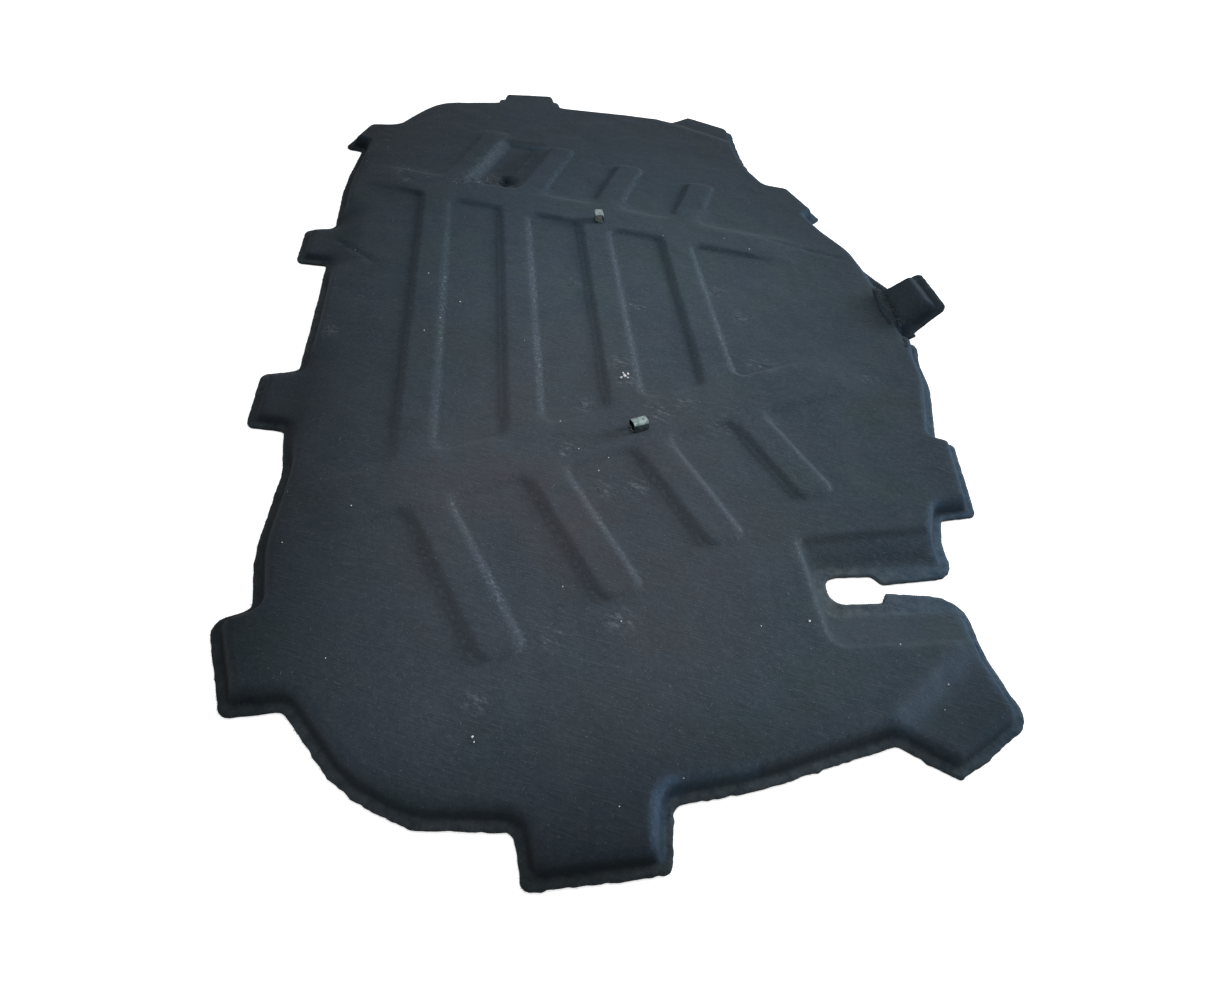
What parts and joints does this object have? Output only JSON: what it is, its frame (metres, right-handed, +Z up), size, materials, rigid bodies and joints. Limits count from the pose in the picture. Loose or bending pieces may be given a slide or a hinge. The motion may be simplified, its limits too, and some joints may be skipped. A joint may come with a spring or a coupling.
{
  "type": "hood insulation pad",
  "caption": "Moulded felt pad for the underside of a car bonnet: pressed rim with edge tabs, raised ridges, open keyhole slot, bent front tab and sprung loops.",
  "frame": {"origin": "on the flat back, on the centre line of the edge tabs, 384 mm in front of the rear edge", "axes": "+X across the width towards the side with no slot, +Y towards the rear edge with its pair of small tabs, +Z up out of the ridged face"},
  "size_m": [1.3193, 0.7709, 0.0436],
  "materials": {
    "moulded_felt": "matte fibrous felt, pressed hard at the rim",
    "plated_steel": "dull bright plating"
  },
  "bodies": {
    "root": {"insulation_pad": "moulded_felt", "left_clip": "plated_steel", "right_clip": "plated_steel"}
  },
  "joints": []
}
